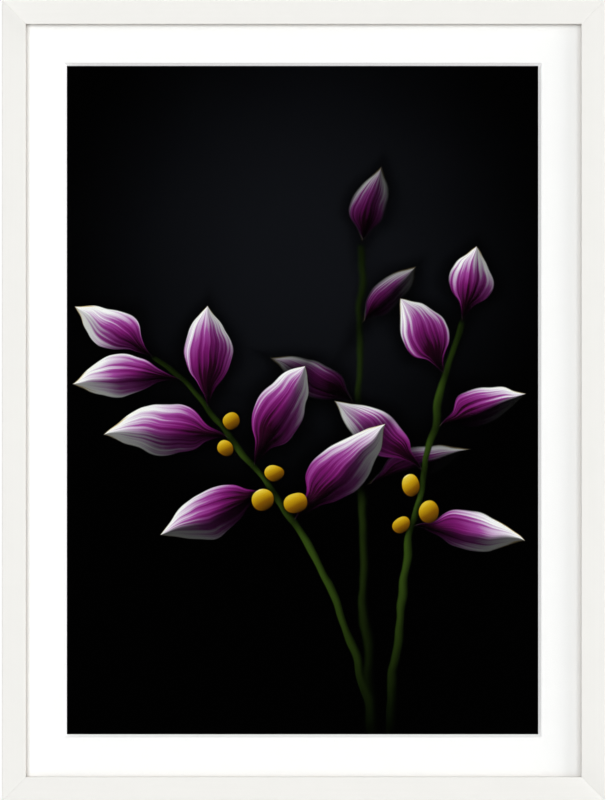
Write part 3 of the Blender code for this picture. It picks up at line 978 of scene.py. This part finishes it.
bright_steel = steel_finish("bright_steel", BRIGHT_STEEL_DARK, BRIGHT_STEEL_LIGHT, 0.3)
for end, side in [("top", "left"), ("top", "right"), ("bottom", "left"), ("bottom", "right")]:
    outward = np.array([1 if side == "right" else -1, 1 if end == "top" else -1])
    points = v_nail_points(outward, low.y + rail_depth + V_NAIL_PROUD)
    name = f"v_nail_{end}_{side}"
    made = piece(f"corner_{name}", points, grid_faces(*V_NAIL_STEPS), bright_steel, "v_nail_steel", [name])
    solid_sheet(made, V_NAIL_THICKNESS, SHEET_EDGE)


# The sawtooth hanger is a strip of zinc-plated steel, held on the top rail by two domed nails. Its ears lie
# on the wood, its middle is pressed up off it, and nine notches in its lower edge take a nail in the wall.
NOTCH_PITCH = 2.8 * MM
NOTCH_DEPTH = 1.2 * MM
NOTCH_COUNT = 9
NOTCHED_HALF = 12.6
NOTCHED_STEP = 0.2
PLAIN_FROM = 13 * MM
PLAIN_STEPS = 22
HANGER_STEPS = 15
HANGER_SHEET = 0.8 * MM
HANGER_EAR = 7.5 * MM
HANGER_BEND = 1.2 * MM
HANGER_CORNER = 2.2 * MM
HANGER_RIB = 0.25 * MM
HANGER_RIB_WIDTH = 0.9 * MM
HANGER_RIB_HEIGHT = 0.62
ZINC_DARK = (168, 172, 176)
ZINC_BRIGHT = (206, 208, 210)
NAIL_HEAD_RADIUS = 1.9 * MM
NAIL_RADIUS = 0.6 * MM
NAIL_TIP_RADIUS = 0.1 * MM
NAIL_TIP = 1.5 * MM
NAIL_RIM = 0.3 * MM
NAIL_DOME = 0.8
DOME_STEPS = 9
TURNED_STEPS = 48

hanger_low, hanger_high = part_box("hanger")
half_length = (hanger_high.x - hanger_low.x) / 2
left_end = np.linspace(-half_length, -PLAIN_FROM, PLAIN_STEPS)
notched_part = np.arange(-NOTCHED_HALF, NOTCHED_HALF + NOTCHED_STEP / 2, NOTCHED_STEP) * MM
right_end = np.linspace(PLAIN_FROM, half_length, PLAIN_STEPS)
s = np.concatenate([left_end, notched_part, right_end])
from_notch = np.abs((s / NOTCH_PITCH + 0.5) % 1 - 0.5) * NOTCH_PITCH
notched = np.abs(s) < (NOTCH_COUNT / 2) * NOTCH_PITCH
notch = np.where(notched, np.clip(NOTCH_DEPTH - from_notch, 0, NOTCH_DEPTH), 0)
past_corner = np.clip(np.abs(s) - (half_length - HANGER_CORNER), 0, HANGER_CORNER)
rounding = HANGER_CORNER - np.sqrt(HANGER_CORNER**2 - past_corner**2)
lower = hanger_low.z + rounding + notch
upper = hanger_high.z - rounding
raised = np.clip((half_length - HANGER_EAR - np.abs(s)) / HANGER_BEND, 0, 1)
raised = (raised * raised * (3 - 2 * raised))[:, None]
t = np.linspace(0, 1, HANGER_STEPS)[None, :]
up = lower[:, None] * (1 - t) + upper[:, None] * t
rib_middle = hanger_low.z + HANGER_RIB_HEIGHT * (hanger_high.z - hanger_low.z)
rib = HANGER_RIB * np.exp(-(((up - rib_middle) / HANGER_RIB_WIDTH) ** 2)) * raised
rise = hanger_high.y - hanger_low.y - HANGER_SHEET
outward = hanger_low.y + HANGER_SHEET / 2 + raised * rise - rib
points = np.stack(np.broadcast_arrays(s[:, None], outward, up), axis=-1)
zinc = steel_finish("zinc_plate", ZINC_DARK, ZINC_BRIGHT, 0.26)
made = piece("sawtooth_hanger", points, grid_faces(len(s), HANGER_STEPS), zinc, "hanger_zinc", ["hanger"])
solid_sheet(made, HANGER_SHEET, SHEET_EDGE)


def turned_piece(name, radius, depth, middle, material, slot, node):
    """A profile turned about an axis along Y: each of its points goes round a circle of its own radius."""
    angle = np.linspace(0, 2 * np.pi, TURNED_STEPS, endpoint=False)[None, :]
    radius, depth = np.asarray(radius)[:, None], np.asarray(depth)[:, None]
    across, up = middle[0] + radius * np.cos(angle), middle[1] + radius * np.sin(angle)
    points = np.stack(np.broadcast_arrays(across, depth, up), axis=-1)
    rows = len(radius)
    faces = grid_faces(rows, TURNED_STEPS, closed_columns=True)
    caps = (range(TURNED_STEPS)[::-1], range((rows - 1) * TURNED_STEPS, rows * TURNED_STEPS))
    return piece(name, points, faces, material, slot, [node], caps=caps)


for end in ("left", "right"):
    nail_low, nail_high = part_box(f"hanger_nail_{end}")
    middle = ((nail_low.x + nail_high.x) / 2, (nail_low.z + nail_high.z) / 2)
    rim = hanger_low.y + HANGER_SHEET + NAIL_RIM
    dome = np.linspace(0.04, 1, DOME_STEPS) * np.pi / 2
    head = nail_high.y - (nail_high.y - rim) * (1 - np.cos(dome)) * NAIL_DOME
    below_head = [NAIL_HEAD_RADIUS * 0.97, NAIL_RADIUS, NAIL_RADIUS, NAIL_TIP_RADIUS]
    radius = np.concatenate([NAIL_HEAD_RADIUS * np.sin(dome), below_head])
    depth = np.concatenate([head, [rim, rim, nail_low.y + NAIL_TIP, nail_low.y]])
    turned_piece(f"domed_nail_{end}", radius, depth, middle, zinc, "hanger_zinc", f"hanger_nail_{end}")


# Two soft rubber bumpers are stuck to the back of the bottom rail, and keep the frame level and off the
# wall. They are moulded, with a flat top and a rounded shoulder.
BUMPER_RADIUS = 4 * MM
BUMPER_FLAT_RADIUS = 2.6 * MM
BUMPER_MIDDLE_RADIUS = 0.8 * MM
BUMPER_FOOT = 0.1 * MM
SHOULDER_STEPS = 9
RUBBER_DARK = (46, 46, 47)
RUBBER_LIGHT = (72, 72, 72)
RUBBER_BLOOM = 1.2 * MM
RUBBER_GRIT = 0.18 * MM
RUBBER_GRIT_HEIGHT = 0.02 * MM

material, rubber = finish("grey_rubber", {"Specular IOR Level": 0.3})
bloom = noise(rubber, object_place(rubber, RUBBER_BLOOM), 4.0)
grit = noise(rubber, object_place(rubber, RUBBER_GRIT))
shade(
    rubber,
    {
        "Base Color": mix(bloom, tone(*RUBBER_DARK), tone(*RUBBER_LIGHT)),
        "Roughness": 0.7 + bloom * 0.2,
        "Normal": bump(rubber, grit, RUBBER_GRIT_HEIGHT),
    },
)
for side in ("left", "right"):
    bumper_low, bumper_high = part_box(f"bumper_{side}")
    middle = ((bumper_low.x + bumper_high.x) / 2, (bumper_low.z + bumper_high.z) / 2)
    shoulder = np.linspace(0, 1, SHOULDER_STEPS) * np.pi / 2
    rounded = BUMPER_RADIUS - BUMPER_FLAT_RADIUS
    shoulder_radius = BUMPER_FLAT_RADIUS + rounded * np.sin(shoulder)
    shoulder_depth = bumper_high.y - rounded * (1 - np.cos(shoulder))
    foot_radius = [BUMPER_RADIUS, BUMPER_RADIUS * 0.97]
    radius = np.concatenate([[BUMPER_MIDDLE_RADIUS], shoulder_radius, foot_radius])
    depth = np.concatenate([[bumper_high.y], shoulder_depth, [bumper_low.y + BUMPER_FOOT, bumper_low.y]])
    name = f"bumper_{side}"
    turned_piece(f"rubber_{name}", radius, depth, middle, material, "bumper_rubber", name)


size = {"cad": [list(corner) for corner in cad_box], "visual": [list(corner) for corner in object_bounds()]}
